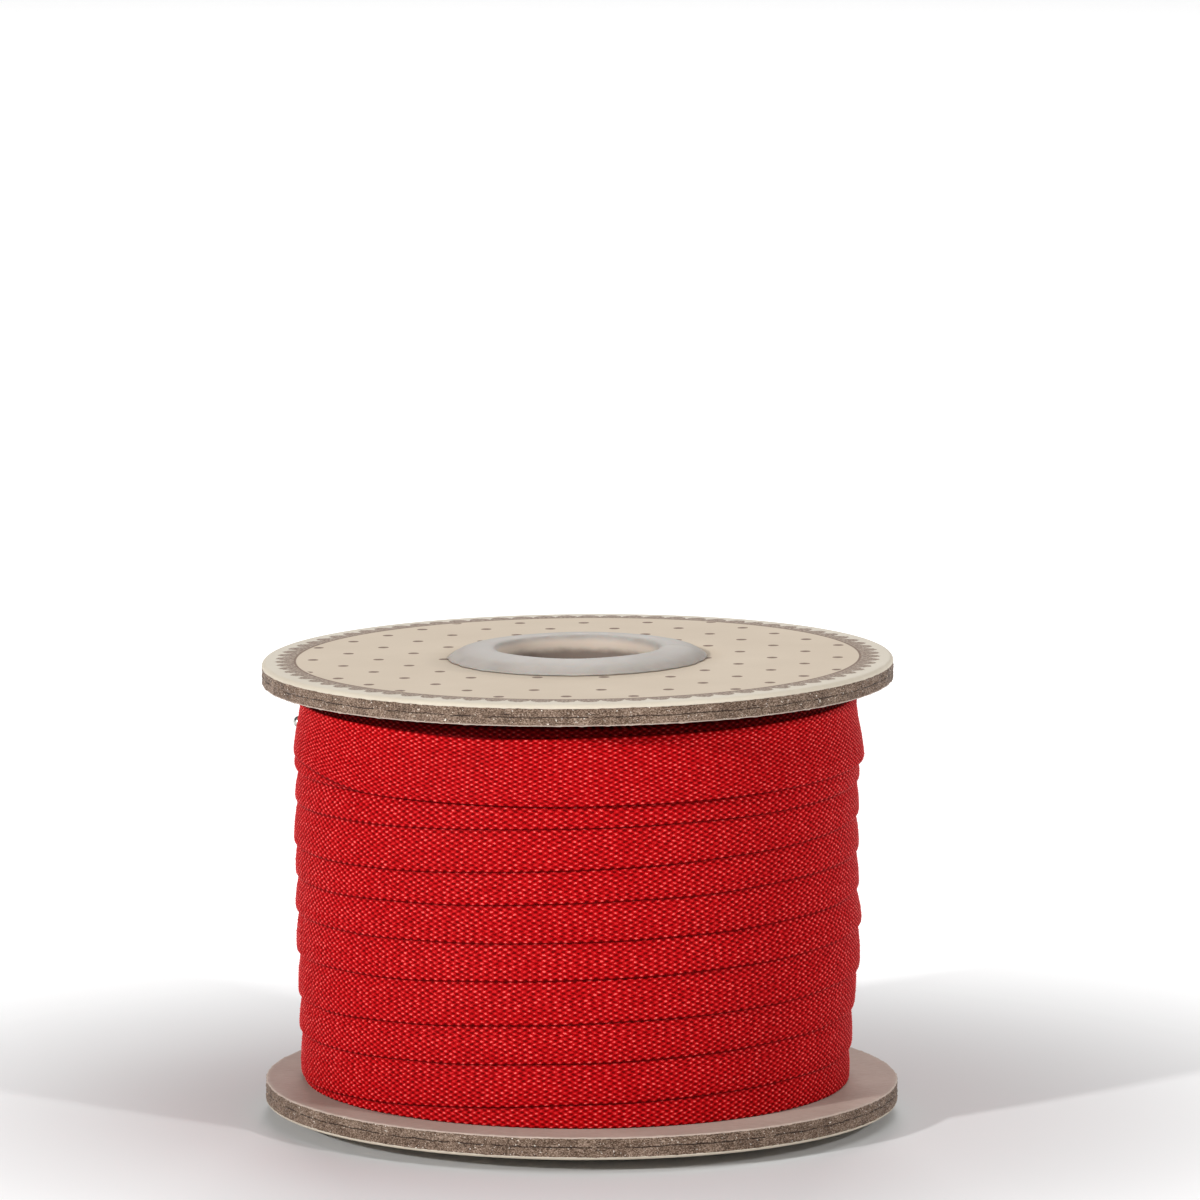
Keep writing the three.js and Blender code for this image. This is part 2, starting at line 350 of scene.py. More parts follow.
class Shader:
    """One material. Its methods add nodes to it, and most of them give back the last node's output."""

    def __init__(self, name, **constants):
        self.material = bpy.data.materials.new(name)
        self.material.use_nodes = True
        self.tree = self.material.node_tree
        self.surface = self.tree.nodes["Principled BSDF"]
        for key, value in constants.items():
            self.surface.inputs[key.replace("_", " ")].default_value = value

    def add(self, kind, inputs, **settings):
        node = self.tree.nodes.new("ShaderNode" + kind)
        for key, value in settings.items():
            setattr(node, key, value)
        for key, value in inputs.items():
            if isinstance(value, bpy.types.NodeSocket):
                self.tree.links.new(value, node.inputs[key])
            else:
                node.inputs[key].default_value = value
        return node

    def math(self, operation, *values):
        return self.add("Math", dict(enumerate(values)), operation=operation).outputs[0]

    def noted(self, name):
        """The three numbers that note() kept under a name."""
        vector = self.add("Attribute", {}, attribute_name=name).outputs["Vector"]
        return self.add("SeparateXYZ", {"Vector": vector}).outputs

    def point(self, x, y, z=0.0):
        return self.add("CombineXYZ", {"X": x, "Y": y, "Z": z}).outputs[0]

    def noise(self, place, scale, detail=2.0, roughness=0.5):
        inputs = {"Vector": place, "Scale": scale, "Detail": detail, "Roughness": roughness}
        return self.add("TexNoise", inputs).outputs[0]

    def squared(self, value):
        return self.math("POWER", value, 2.0)

    def length(self, x, y):
        return self.math("POWER", self.math("ADD", self.squared(x), self.squared(y)), 0.5)

    def swing(self, noise, weight):
        """A noise as ups and downs about 0."""
        return self.math("MULTIPLY", self.math("SUBTRACT", noise, 0.5), weight)

    def rise(self, value, low, high, to_low=0.0, to_high=1.0):
        """Turns low to high smoothly into to_low to to_high."""
        inputs = {"Value": value, "From Min": low, "From Max": high, "To Min": to_low, "To Max": to_high}
        return self.add("MapRange", inputs, interpolation_type="SMOOTHSTEP").outputs["Result"]

    def ramp(self, value, *stops):
        node = self.add("ValToRGB", {"Fac": value})
        elements = node.color_ramp.elements
        while len(elements) < len(stops):
            elements.new(0.5)
        for element, (position, color) in zip(elements, stops):
            element.position = position
            element.color = (*color, 1)
        return node.outputs["Color"]

    def mix(self, share, a, b):
        node = self.add("Mix", {0: share}, data_type="RGBA")
        for socket, value in zip((node.inputs[6], node.inputs[7]), (a, b)):
            if isinstance(value, bpy.types.NodeSocket):
                self.tree.links.new(value, socket)
            else:
                socket.default_value = (*value, 1)
        return node.outputs[2]

    def finish(self, color, roughness=None, height=None, depth=0.05, strength=1.0):
        """Links colour, roughness and a bump, whose full depth is in millimetres."""
        links = {"Base Color": color, "Roughness": roughness}
        if height is not None:
            inputs = {"Height": height, "Distance": depth * MM, "Strength": strength}
            links["Normal"] = self.add("Bump", inputs).outputs["Normal"]
        for key, value in links.items():
            if value is not None:
                self.tree.links.new(value, self.surface.inputs[key])
        return self.material


def ribbon_material(name="ribbon_weave", depth=1.0):
    """Plain weave: floats with a painted highlight on their cores, dark gaps between them where the weft
    lies deeper, painted as shade, and painted shade under the next turn.
    """
    # depth below 1 darkens the whole colour as painted shade, for a copy used inside the winding
    s = Shader(name, Specular_IOR_Level=0.04)
    u, v, turn = s.noted("thread")
    below_next, _, _ = s.noted("cover")
    across = s.math("SINE", s.math("MULTIPLY", v, math.pi))
    along = s.math("COSINE", s.math("MULTIPLY", u, math.pi))
    weave = s.math("MULTIPLY", across, along)
    fibres = s.noise(s.point(s.math("MULTIPLY", u, 1.1), s.math("MULTIPLY", v, 6.0), turn), 1.0, 3.0, 0.65)
    floats = s.noise(s.point(u, v, 4.0), 1.1, 2.0, 0.6)
    picks = s.noise(s.point(s.math("MULTIPLY", u, 0.5), s.math("MULTIPLY", v, 0.04), 9.0), 1.0, 2.0)
    weave_tone_shade_highlight = s.rise(weave, -1.0, 1.15)
    for noise, weight in ((fibres, 0.6), (floats, 0.8), (picks, 0.12)):
        weave_tone_shade_highlight = s.math("ADD", weave_tone_shade_highlight, s.swing(noise, weight))
    # Painted shade in the gaps between floats, and a pinkish painted highlight on their cores
    color = s.ramp(
        weave_tone_shade_highlight,
        (0.0, (0.13 * depth, 0.0002, 0.0006)),
        (0.35, (0.335 * depth, 0.0006, 0.002)),
        (0.8, (0.52 * depth, 0.005 * depth, 0.008 * depth)),
        (0.96, (0.69 * depth, 0.035 * depth, 0.036 * depth)),
        (1.0, (0.86 * depth, 0.12 * depth, 0.11 * depth)),
    )
    # Painted shade: dark where the next turn covers the ribbon, and just below that turn's lower edge
    shade = s.rise(below_next, 0.0, EDGE_SHADE, 0.0, 1.0)
    color = s.mix(shade, (0.11 * depth, 0.0002, 0.0006), color)
    height = s.math("ADD", s.math("MULTIPLY", weave, 0.6), s.math("MULTIPLY", fibres, 0.6))
    return s.finish(color, s.rise(weave_tone_shade_highlight, 0.0, 1.0, 0.75, 0.5), height, 0.04, 0.7)


def paper_material():
    """Cream paper with a lattice of brown dots inside a scalloped border."""
    s = Shader("printed_paper", Specular_IOR_Level=0.3)
    x, y, _ = s.noted("place")
    _, printed, _ = s.noted("face")
    place = s.point(x, y)
    inks = s.math("MAXIMUM", dots_ink(s, x, y, place), border_ink(s, x, y, place))
    ink = s.math("MULTIPLY", inks, printed)
    cloud = s.noise(place, 0.09, 3.0)
    fibre = s.noise(place, 3.5, 3.0, 0.6)
    tone = s.math("ADD", s.math("MULTIPLY", cloud, 0.7), s.math("MULTIPLY", fibre, 0.3))
    tinted = s.ramp(tone, (0.3, (0.505, 0.402, 0.29)), (0.7, (0.56, 0.455, 0.337)))
    plain = s.ramp(tone, (0.3, (0.54, 0.475, 0.38)), (0.7, (0.605, 0.54, 0.44)))
    paper = s.mix(s.rise(s.length(x, y), BORDER_INNER, BORDER_INNER + 0.4), tinted, plain)
    brown = s.ramp(fibre, (0.35, (0.125, 0.07, 0.042)), (0.65, (0.23, 0.14, 0.088)))
    color = s.mix(ink, paper, brown)
    return s.finish(color, s.rise(ink, 0, 1, 0.62, 0.7), fibre, 0.012, 0.5)


def dots_ink(s, x, y, place):
    """Ink of the dots, each row half a step aside from the last. A place before the hub is left bare."""
    (ax, ay), (bx, by) = DOT_ROW, DOT_SLANT
    area = ax * by - ay * bx
    dx = s.math("SUBTRACT", x, DOT_PLACE[0])
    dy = s.math("SUBTRACT", y, DOT_PLACE[1])
    row = s.math("SUBTRACT", s.math("MULTIPLY", dx, by / area), s.math("MULTIPLY", dy, bx / area))
    slant = s.math("SUBTRACT", s.math("MULTIPLY", dy, ax / area), s.math("MULTIPLY", dx, ay / area))
    row = s.math("SUBTRACT", row, s.math("ROUND", row))
    slant = s.math("SUBTRACT", slant, s.math("ROUND", slant))
    off_x = s.math("ADD", s.math("MULTIPLY", row, ax), s.math("MULTIPLY", slant, bx))
    off_y = s.math("ADD", s.math("MULTIPLY", row, ay), s.math("MULTIPLY", slant, by))
    ragged = s.math("ADD", s.length(off_x, off_y), s.math("MULTIPLY", s.noise(place, 2.2, 2.0), 0.12))
    inside = s.rise(s.length(x, y), DOTS_REACH, DOTS_REACH + 0.2, 1.0, 0.0)
    bare_x = s.squared(s.math("DIVIDE", s.math("SUBTRACT", x, BARE_PLACE[0]), BARE_REACH[0]))
    bare_y = s.squared(s.math("DIVIDE", s.math("SUBTRACT", y, BARE_PLACE[1]), BARE_REACH[1]))
    kept = s.math("MULTIPLY", inside, s.rise(s.math("ADD", bare_x, bare_y), 0.98, 1.02))
    return s.math("MULTIPLY", s.rise(ragged, DOT_RADIUS + 0.03, DOT_RADIUS + 0.1, 1.0, 0.0), kept)


def border_ink(s, x, y, place):
    """Ink of the border: a mottled band with scallops outside and a smooth line inside."""
    radius = s.length(x, y)
    angle = s.math("ARCTAN2", y, x)
    arch = s.math("ABSOLUTE", s.math("SINE", s.math("MULTIPLY", angle, BORDER_SCALLOPS / 2)))
    edge = s.math("ADD", s.math("MULTIPLY", s.math("POWER", arch, 0.55), BORDER_SCALLOP), BORDER_BAND)
    ragged = s.math("ADD", radius, s.swing(s.noise(place, 3.4, 3.0), 0.9))
    outside = s.math("SUBTRACT", ragged, edge)
    inside = s.rise(radius, BORDER_INNER - 0.04, BORDER_INNER + 0.04)
    band = s.math("MULTIPLY", s.rise(outside, -0.08, 0.08, 1.0, 0.0), inside)
    mottle = s.rise(s.noise(place, 3.2, 4.0, 0.75), 0.36, 0.56, 0.45, 0.95)
    line = s.rise(radius, BORDER_INNER + 0.2, BORDER_INNER + 0.3, 1.0, 0.0)
    return s.math("MULTIPLY", band, s.math("MAXIMUM", line, mottle))


def raw_board_material():
    """The cut side of grey board: speckled pulp, pale flecks, dark lines between plies, a frayed edge."""
    s = Shader("board_side", Specular_IOR_Level=0.2)
    x, y, height = s.noted("place")
    share, _, _ = s.noted("face")
    place = s.point(x, y, s.math("MULTIPLY", height, 1.5))
    pulp = s.noise(place, 5.5, 4.0, 0.7)
    patch = s.noise(place, 0.6, 3.0)
    tone = s.math("ADD", s.math("MULTIPLY", pulp, 0.82), s.math("MULTIPLY", patch, 0.18))
    color = s.ramp(
        tone,
        (0.38, (0.035, 0.02, 0.013)),
        (0.5, (0.155, 0.097, 0.064)),
        (0.62, (0.40, 0.30, 0.23)),
    )
    fleck = s.rise(s.noise(s.point(x, y, height), 3.6, 2.0), 0.68, 0.72)
    color = s.mix(fleck, color, (0.80, 0.74, 0.66))
    for offset, depth in ((0.0, 60.0), (0.16, 75.0)):
        drift = s.swing(s.noise(s.point(x, y, 30.0 + depth), 0.5, 4.0), 0.22)
        off = s.math("ABSOLUTE", s.math("SUBTRACT", s.math("ADD", share, drift), PLY_LINE + offset))
        broken = s.rise(s.noise(s.point(x, y, depth), 0.45, 4.0, 0.7), 0.4 + offset, 0.5 + offset)
        line = s.math("MULTIPLY", s.rise(off, 0.01, 0.05, 1.0, 0.0), broken)
        color = s.mix(line, color, (0.018, 0.009, 0.006))
    fray = s.math("MULTIPLY", s.noise(s.point(x, y, 90.0), 1.4, 3.0, 0.7), 0.1)
    pale = s.rise(s.math("SUBTRACT", share, fray), -0.03, 0.0, 0.8, 0.0)
    color = s.mix(pale, color, (0.58, 0.47, 0.40))
    return s.finish(color, None, pulp, 0.08, 0.9)


def liner_material():
    """The discs' inner faces: smooth pinkish grey liner with a faint fibre."""
    s = Shader("board_liner", Roughness=0.75, Specular_IOR_Level=0.2)
    x, y, _ = s.noted("place")
    place = s.point(x, y)
    fibre = s.noise(s.point(s.math("MULTIPLY", x, 0.5), y), 2.2, 4.0, 0.65)
    cloud = s.noise(place, 0.12, 2.0)
    tone = s.math("ADD", s.math("MULTIPLY", fibre, 0.5), s.math("MULTIPLY", cloud, 0.5))
    color = s.ramp(tone, (0.3, (0.35, 0.27, 0.225)), (0.7, (0.47, 0.385, 0.33)))
    return s.finish(color, None, fibre, 0.02, 0.5)


def hub_material():
    """Translucent white plastic. Its bore is tan near the top, and dark further down as painted shade."""
    s = Shader("hub_plastic", Subsurface_Weight=0.15, Subsurface_Scale=1.0 * MM, Specular_IOR_Level=0.25)
    depth, inside, turn = s.noted("hub")
    flow = s.noise(s.point(s.math("MULTIPLY", turn, 30.0), depth), 1.0, 3.0)
    cloud = s.noise(s.point(s.math("MULTIPLY", turn, 5.0), depth, 3.0), 1.0, 2.0)
    tone = s.math("ADD", s.math("MULTIPLY", flow, 0.5), s.math("MULTIPLY", cloud, 0.5))
    white = s.ramp(tone, (0.35, (0.335, 0.3, 0.27)), (0.65, (0.42, 0.385, 0.352)))
    # Painted shade: the bore's tan goes dark further down, where little light reaches
    painted_shade_depth = s.math("ADD", depth, s.swing(flow, 0.5))
    tan = s.mix(s.rise(painted_shade_depth, -0.1, 0.75), (0.62, 0.52, 0.43), (0.225, 0.175, 0.145))
    color = s.mix(s.math("MULTIPLY", inside, s.rise(depth, -1.0, -0.3)), white, tan)
    return s.finish(color, s.rise(flow, 0.3, 0.7, 0.5, 0.62), tone, 0.05, 0.5)


def steel_material():
    s = Shader("pin_steel", Metallic=1.0)
    place = s.add("TexCoord", {}).outputs["Object"]
    scuff = s.noise(place, 2500.0, 4.0, 0.7)
    color = s.ramp(scuff, (0.3, (0.44, 0.46, 0.42)), (0.7, (0.62, 0.63, 0.59)))
    return s.finish(color, s.rise(scuff, 0.3, 0.7, 0.16, 0.34), scuff, 0.01, 0.3)


# The ribbon

def section_rows(dense):
    """Threads across the ribbon at each point of its section: up its outer face, and down its inner one."""
    fine = np.arange(0, dense + 0.25, 1 / SAMPLES_PER_THREAD)
    coarse = np.linspace(dense, WARPS, 4)[1:] if dense < WARPS else np.array([])
    outer = np.concatenate([fine, coarse])
    inner = np.array([WARPS - 0.4, 0.4])
    return outer, inner


def woven_place(turn, threads):
    """Counts of wefts along and of warps across, which wander a little as the threads do."""
    inner = np.sin(math.pi * np.clip(threads / WARPS, 0, 1)) ** 0.5
    along = WEFTS_PER_TURN * turn + 0.16 * waves(threads + 2 * np.floor(turn), 23, 0.1, 0.6)
    across = threads + 0.14 * inner * waves(WEFTS_PER_TURN * turn, 24, 0.03, 0.3)
    return along, across


def band_points(turn, threads, face, low, high, radius, relief):
    """Points of a woven band. face is 0 on its outer face and 1 on its inner one."""
    u, v = woven_place(turn, threads)
    height = mixed(threads / WARPS, low, high)
    slope = np.gradient(low, axis=1) / np.gradient(turn * TURN * CROWN_RADIUS, axis=1)
    across = np.sin(math.pi * v) * np.cos(math.pi * u)
    ridge = np.sin(math.pi * v) ** 2
    edge = np.exp(-threads / 0.3) + np.exp(-(WARPS - threads) / 0.3)
    uneven = 1 + 0.18 * waves(u, 21, 0.02, 0.3) + 0.12 * waves(threads + 3 * turn, 22, 0.05, 0.4)
    flat = smooth(threads, -0.5, 1.0) * smooth(WARPS - threads, -0.5, 1.0)
    lifted = relief * flat * uneven * (FLOAT_RISE * across + WARP_RISE * ridge) * (1 - face)
    loop = SELVEDGE_LOOP * edge * (0.5 + 0.5 * np.cos(math.pi * u)) * (1 - face)
    inward = RIBBON_THICKNESS * (face + 0.5 * edge * (1 - face))
    out = radius(turn, height) + lifted - inward
    up = height + loop * np.where(threads > WARPS / 2, 1, -1)
    angle = TURN * turn - (height - low) * slope / CROWN_RADIUS
    return np.stack([AXIS_X + out * np.cos(angle), out * np.sin(angle), BOTTOM_FACE + up], -1)


def woven_band(name, first, last, dense, low, high, radius, material, above=None):
    """One stretch of ribbon, closed, woven in relief up to a number of threads from its lower edge.

    above gives the height of the next turn's lower edge, where one lies on this stretch.
    """
    outer, inner = section_rows(dense)
    columns = int(round((last - first) * WEFTS_PER_TURN * SAMPLES_PER_THREAD)) + 1
    turn = np.linspace(first, last, columns)[None, :]
    threads = np.concatenate([outer, inner])[:, None]
    face = np.concatenate([outer * 0, inner * 0 + 1])[:, None]
    relief = 1 - smooth(threads, dense - 0.6, dense + 0.1) if dense < WARPS else np.ones_like(threads)
    turn, across = np.broadcast_arrays(turn, threads)
    points = band_points(turn, across, face, low(turn), high(turn), radius, relief)
    rows = len(threads)
    quads = grid_quads(rows, columns, True, False)
    start = np.arange(rows) * columns
    caps = [cap_quads(start), cap_quads(start + columns - 1)[:, ::-1]]
    quads = np.concatenate([quads[:, ::-1], *caps])
    piece = new_object(name, points.reshape(-1, 3), quads, [material])
    u, v = woven_place(turn, across)
    note(piece, "thread", np.stack([u, v, turn], -1).reshape(-1, 3))
    height = mixed(threads / WARPS, low(turn), high(turn))
    free = above(turn) - height if above else 0 * height + RIBBON_WIDTH
    note(piece, "cover", np.stack([free, 0 * free, 0 * free], -1).reshape(-1, 3))
    return placed(piece, "ribbon", "ribbon_roll")


def visible_threads(first, last):
    """Threads of a turn that show below the next turn's edge where most show, and one more."""
    turn = np.linspace(first, min(last, RIBBON_END - 1), 200)
    shown = edge_height(turn + 1) - np.maximum(edge_height(turn), CLOSE_GAP)
    return min(WARPS, math.ceil(np.max(shown) / RIBBON_WIDTH * WARPS) + 1)


def make_ribbon():
    material = ribbon_material()

    def low(turn):
        wavy = EDGE_WAVER * waves(turn, 5, 2, 16)
        return np.maximum(edge_height(turn) + wavy, CLOSE_GAP)

    def above(turn):
        return np.where(turn + 1 < RIBBON_END, low(turn + 1), 2 * BETWEEN_DISCS)

    number = 1
    first = FIRST_PLACE
    while first < RIBBON_END - 1:
        is_last = first + 2 > RIBBON_END
        last = RIBBON_END if is_last else first + 1
        dense = WARPS if is_last else visible_threads(first, last)
        name = f"ribbon_turn_{number:02d}"
        woven_band(name, first, last, dense, low, upper_edge, outer_radius, material, above)
        first += 1
        number += 1


def make_core():
    """The layers inside: an earlier turn that shows over the last one's upper edge, and a plain ring."""
    # A copy of the ribbon's material, darkened to 0.35 as painted shade for the recess under the top disc
    material = ribbon_material("ribbon_weave_painted_shade", 0.35)

    def low(turn):
        return UNDER_TURN_LOW + 0 * turn

    def high(turn):
        lean = math.tan(TOP_TILT) * UNDER_TURN_RADIUS * np.cos(TURN * turn)
        return BETWEEN_DISCS - UNDER_TURN_GAP + lean + 0.05 * waves(turn, 32, 2, 12)

    def radius(turn, height):
        return UNDER_TURN_RADIUS + 0.08 * waves(turn, 31, 1, 5) + 0 * height

    first = FIRST_PLACE
    woven_band("ribbon_under_turn", first, first + 1, UNDER_TURN_WOVEN, low, high, radius, material)
    make_inner_ring(material)


def make_inner_ring(material):
    """The layers that never show, as one ring from the hub out."""
    angles = np.linspace(0, TURN, CORE_COLUMNS, endpoint=False)
    outside = [(CORE_RADIUS, CORE_FOOT), (CORE_RADIUS, CORE_TOP)]
    corners = [(CORE_BORE, CORE_FOOT), *outside, (CORE_BORE, CORE_TOP)]
    rows = []
    for radius, height in corners:
        lean = math.tan(TOP_TILT) * radius * np.cos(angles) * (height == CORE_TOP)
        rows.append(np.stack([
            AXIS_X + radius * np.cos(angles),
            radius * np.sin(angles),
            BOTTOM_FACE + height + lean,
        ], -1))
    points = np.concatenate(rows)
    core = new_object("ribbon_core", points, grid_quads(4, CORE_COLUMNS, True, True), [material])
    up = points[:, 2]
    flat = np.stack([WEFTS_PER_TURN * np.tile(angles / TURN, 4), up * WARPS / RIBBON_WIDTH, 0 * up], -1)
    note(core, "thread", flat)
    note(core, "cover", 0 * flat + RIBBON_WIDTH)
    placed(core, "ribbon", "ribbon_roll")


# The discs

def disc_rows(radius, thickness, roll):
    """Radius, height, share of the cut side and material of a disc's rows, from the hole out and back."""
    rows = [(r, 0.0, 0.0, 0) for r in (DISC_HOLE_RADIUS, 16.0, 22.0, 27.0, 30.0, radius - 0.5)]
    rows.append((radius - 0.14, 0.0, 0.0, 1))
    side = thickness - roll
    for i in range(SIDE_ROWS):
        share = i / (SIDE_ROWS - 1)
        rows.append((radius - 0.05, 0.06 + share * (side - 0.1), share, 1))
    for i in range(7):
        bend = math.pi / 2 * i / 6
        rows.append((radius - roll * (1 - math.cos(bend)), side + roll * math.sin(bend), 1.0, 2))
    paper = (radius - 0.8, radius - 1.4, 28.0, 22.0, 16.0, DISC_HOLE_RADIUS)
    rows += [(r, thickness, 1.0, 2) for r in paper]
    return np.array(rows)


def cut_side(r, share, around, seed):
    """Radius of a disc's cut side, with rough pulp and a broken groove between the plies."""
    rough = SIDE_ROUGH * grain(r.shape, seed, 2) + 0.02 * waves(around, seed + 1, 8, 60)
    dashes = smooth(waves(around, seed + 2, 20, 90), -0.2, 0.5)
    ply = PLY_LINE + 0.03 * waves(around, seed + 3, 2, 12)
    return r + rough - PLY_DEPTH * dashes * np.exp(-(((share - ply) / PLY_REACH) ** 2))


def burr(r, radius, around, seed):
    """How far the inner edge of a disc's cut side stands out over its inner face."""
    ragged = 0.02 * grain((1, around.size), seed + 4, 1) + 0.025 * waves(around, seed + 5, 30, 120)
    return np.maximum(ragged, 0) * smooth(r, radius - 0.4, radius - 0.1)


def make_disc(name, node, radius, thickness, roll, seed, printed, place):
    """A board disc. place(x, y, height) sets the point at a height over its inner face into the roll."""
    rows = disc_rows(radius, thickness, roll)
    around = np.linspace(0, 1, DISC_COLUMNS, endpoint=False)
    angles = TURN * around
    kinds = rows[:, 3].astype(int)
    r, height, share = (rows[:, i][:, None] + 0 * angles for i in range(3))
    on_side = (kinds == 1)[:, None] & (height > 0)
    r = np.where(on_side, cut_side(r, share, around, seed), r)
    height = np.where(share == 0, height - burr(r, radius, around, seed), height)
    paper_edge = (kinds == 2)[:, None] & (height < thickness - roll + 0.01)
    height = np.where(paper_edge, height + 0.015 * grain((1, DISC_COLUMNS), seed + 6, 3), height)
    x, y = r * np.cos(angles), r * np.sin(angles)
    points = np.stack(place(x, y, height), -1).reshape(-1, 3)
    quads = grid_quads(len(rows), DISC_COLUMNS, True, True)
    if not printed:
        quads = quads[:, ::-1]
    materials = [liner_material(), raw_board_material(), paper_material()]
    disc = new_object(name, points, quads, materials, np.repeat(kinds, DISC_COLUMNS))
    note(disc, "place", np.stack([x, y, height], -1))
    note(disc, "face", np.stack([share, 0 * share + printed, 0 * share], -1))
    return placed(disc, "board", node)


def make_discs():
    def on_top(x, y, height):
        along = x * math.cos(TOP_TILT) - height * math.sin(TOP_TILT)
        up = x * math.sin(TOP_TILT) + height * math.cos(TOP_TILT)
        return AXIS_X + along, y, TOP_UNDERSIDE + up

    def under(x, y, height):
        return AXIS_X + BOTTOM_OFFSET + x, y, BOTTOM_FACE - height

    top = (TOP_RADIUS, TOP_THICKNESS, TOP_PAPER_ROLL)
    bottom = (BOTTOM_RADIUS, BOTTOM_THICKNESS, BOTTOM_PAPER_ROLL)
    make_disc("top_disc", "flange_top", *top, seed=100, printed=1, place=on_top)
    make_disc("bottom_disc", "flange_bottom", *bottom, seed=200, printed=0, place=under)


# The hub and the pin

def make_hub():
    """The plastic tube with a flared lip at each end, its thin rim a little uneven."""
    around = np.linspace(0, 1, HUB_COLUMNS, endpoint=False)
    angles = TURN * around
    upper = [(r, TOP_FACE + above, above) for r, above in LIP_SECTION]
    lower = [(r, BOTTOM_LOW - above, above) for r, above in LIP_SECTION]
    wall = [(TUBE_RADIUS, TOP_FACE + 0.03, 0.0), (TUBE_RADIUS, BOTTOM_LOW - 0.03, 0.0)]
    rows = np.array(upper + wall + lower[::-1])
    r, z, above = (rows[:, i][:, None] + 0 * angles for i in range(3))
    uneven = 0.07 * waves(around, 41, 4, 30) + 0.05 * waves(around, 42, 20, 70)
    r = r + uneven * smooth(r, 12.3, 13.0)
    x, y = r * np.cos(angles), r * np.sin(angles)
    dented = 0.03 * waves(around, 43, 1, 6) * smooth(above, 0.2, 1.0) * np.sign(z - BOTTOM_FACE)
    z = z + math.tan(TOP_TILT) * x * smooth(z, BOTTOM_FACE, TOP_UNDERSIDE) + dented
    points = np.stack([AXIS_X + x, y, z], -1).reshape(-1, 3)
    hub = new_object("hub_tube", points, grid_quads(len(rows), HUB_COLUMNS, True, True), [hub_material()])
    inside = smooth(r, TUBE_RADIUS - 0.1, BORE_RADIUS + 0.1)
    note(hub, "hub", np.stack([TOP_FACE - z, inside, 0 * r + around], -1))
    placed(hub, "hub_plastic", "hub")


def make_pin():
    """A round-headed pin, whose shank goes down aslant into the winding."""
    outward = Vector((math.cos(PIN_ANGLE), math.sin(PIN_ANGLE), 0))
    along = Vector((math.sin(PIN_ANGLE), -math.cos(PIN_ANGLE), 0))
    direction = along * math.cos(PIN_LEAN) - outward * math.sin(PIN_LEAN)
    place = Vector((AXIS_X, 0, BOTTOM_FACE + PIN_HEIGHT)) + outward * PIN_HEAD_DISTANCE
    turn = direction.to_track_quat("Z", "Y").to_matrix().to_4x4()
    mesh = bpy.data.meshes.new("holding_pin")
    shape = bmesh.new()
    bmesh.ops.create_uvsphere(shape, u_segments=48, v_segments=32, radius=PIN_HEAD_RADIUS * MM)
    bmesh.ops.create_cone(
        shape, cap_ends=True, segments=32, depth=PIN_SHOWN * MM,
        radius1=PIN_SHANK_RADIUS * MM, radius2=PIN_SHANK_RADIUS * MM,
        matrix=Matrix.Translation((0, 0, PIN_SHOWN / 2 * MM)),
    )
    bmesh.ops.transform(shape, matrix=Matrix.Translation(place * MM) @ turn, verts=shape.verts)
    for face in shape.faces:
        face.smooth = True
    shape.to_mesh(mesh)
    shape.free()
    mesh.materials.append(steel_material())
    pin = bpy.data.objects.new("holding_pin", mesh)
    bpy.context.scene.collection.objects.link(pin)
    placed(pin, "pin_steel", "pin")


def floor_material():
    """Pale paper that glows away from the roll, as if the sweep were lit from behind."""
    s = Shader("floor", Roughness=0.9, Specular_IOR_Level=0.1)
    place = s.add("TexCoord", {}).outputs["Object"]
    x, y, _ = s.add("SeparateXYZ", {"Vector": place}).outputs
    glow = s.rise(s.length(x, y), GLOW_FROM, GLOW_FULL, 0.0, GLOW)
    s.surface.inputs["Emission Color"].default_value = (1, 1, 1, 1)
    s.tree.links.new(glow, s.surface.inputs["Emission Strength"])
    return s.finish(s.ramp(s.noise(place, 3.0), (0.0, (0.65, 0.65, 0.65)), (1.0, (0.67, 0.67, 0.67))))


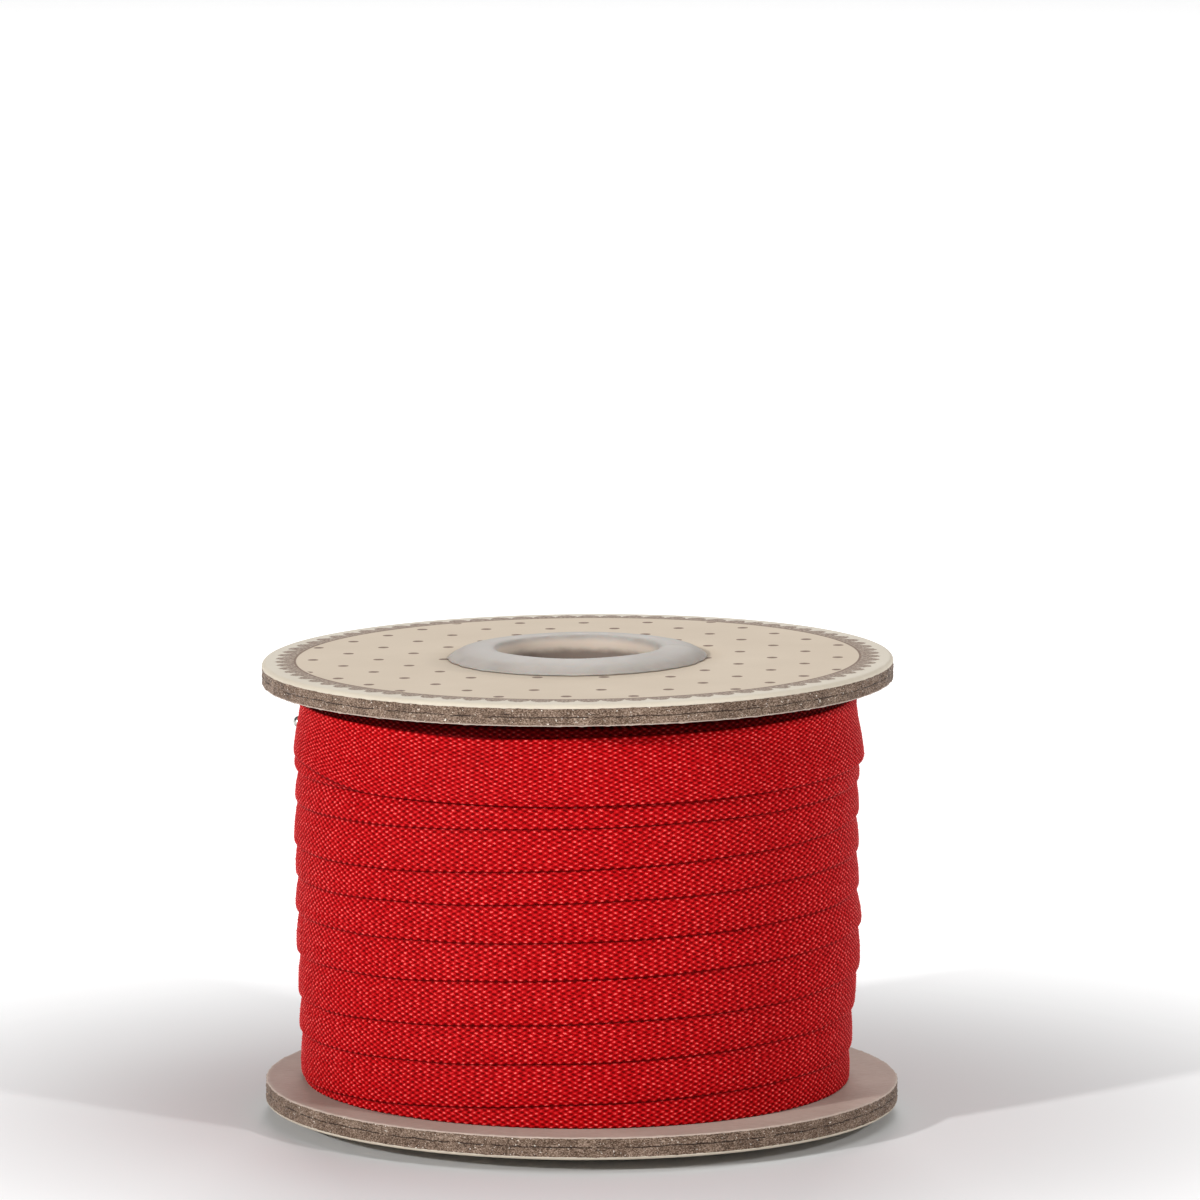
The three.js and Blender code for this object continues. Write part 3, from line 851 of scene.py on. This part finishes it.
def make_floor():
    """A round floor, in metres, whose rim curves up into a wall."""
    flat = [0.0, 0.1, 0.3, 0.6, 1.2, FLOOR_FLAT]
    bends = [math.pi / 2 * (i + 1) / FLOOR_STEPS for i in range(FLOOR_STEPS)]
    radii = flat + [FLOOR_FLAT + FLOOR_RISE * math.sin(bend) for bend in bends]
    heights = [0.0] * len(flat) + [FLOOR_RISE * (1 - math.cos(bend)) for bend in bends]
    around = np.linspace(0, TURN, FLOOR_COLUMNS, endpoint=False)
    points = np.stack([
        np.outer(radii, np.cos(around)),
        np.outer(radii, np.sin(around)),
        np.outer(heights, np.ones_like(around)),
    ], -1).reshape(-1, 3)
    quads = grid_quads(len(radii), FLOOR_COLUMNS, False, True)
    floor = new_object("floor", points / MM, quads, [floor_material()])


def make_camera():
    data = bpy.data.cameras.new("camera")
    data.lens = CAMERA_LENS
    data.clip_end = 50
    camera = bpy.data.objects.new("camera", data)
    bpy.context.scene.collection.objects.link(camera)
    back = Vector((0, -math.cos(CAMERA_ELEVATION), math.sin(CAMERA_ELEVATION)))
    place = Vector((AXIS_X, 0, CAMERA_TARGET_HEIGHT)) + CAMERA_DISTANCE * back
    right = Vector((1, 0, 0))
    up = back.cross(right)
    aim = Matrix((right, up, back)).transposed().to_4x4()
    turned = Matrix.Rotation(CAMERA_AIM_ASIDE, 4, "Y") @ Matrix.Rotation(CAMERA_AIM_UP, 4, "X")
    rolled = Matrix.Rotation(-CAMERA_ROLL, 4, "Z")
    camera.matrix_world = Matrix.Translation(place * MM) @ aim @ turned @ rolled
    bpy.context.scene.camera = camera


def area_light(name, azimuth, elevation, distance, width, height, power):
    """A softbox that faces the middle of the roll. Azimuth 0 is the camera's side, and 90 the right."""
    data = bpy.data.lights.new(name, "AREA")
    data.shape = "RECTANGLE"
    data.size, data.size_y = width, height
    data.energy = power
    light = bpy.data.objects.new(name, data)
    bpy.context.scene.collection.objects.link(light)
    a, e = math.radians(azimuth), math.radians(elevation)
    away = Vector((math.sin(a) * math.cos(e), -math.cos(a) * math.cos(e), math.sin(e)))
    light.location = away * distance + Vector((0, 0, CAMERA_TARGET_HEIGHT * MM))
    light.rotation_mode = "QUATERNION"
    light.rotation_quaternion = away.to_track_quat("Z", "Y")


def make_lights():
    for name, softbox in SOFTBOXES.items():
        area_light(name, *softbox)
    world = bpy.data.worlds.new("world")
    bpy.context.scene.world = world
    world.use_nodes = True
    background = world.node_tree.nodes["Background"]
    background.inputs["Color"].default_value = (1, 1, 1, 1)
    background.inputs["Strength"].default_value = WORLD_LIGHT
    bpy.context.scene.view_settings.view_transform = "Standard"


make_camera()
make_lights()
make_floor()
make_ribbon()
make_core()
make_discs()
make_hub()
make_pin()
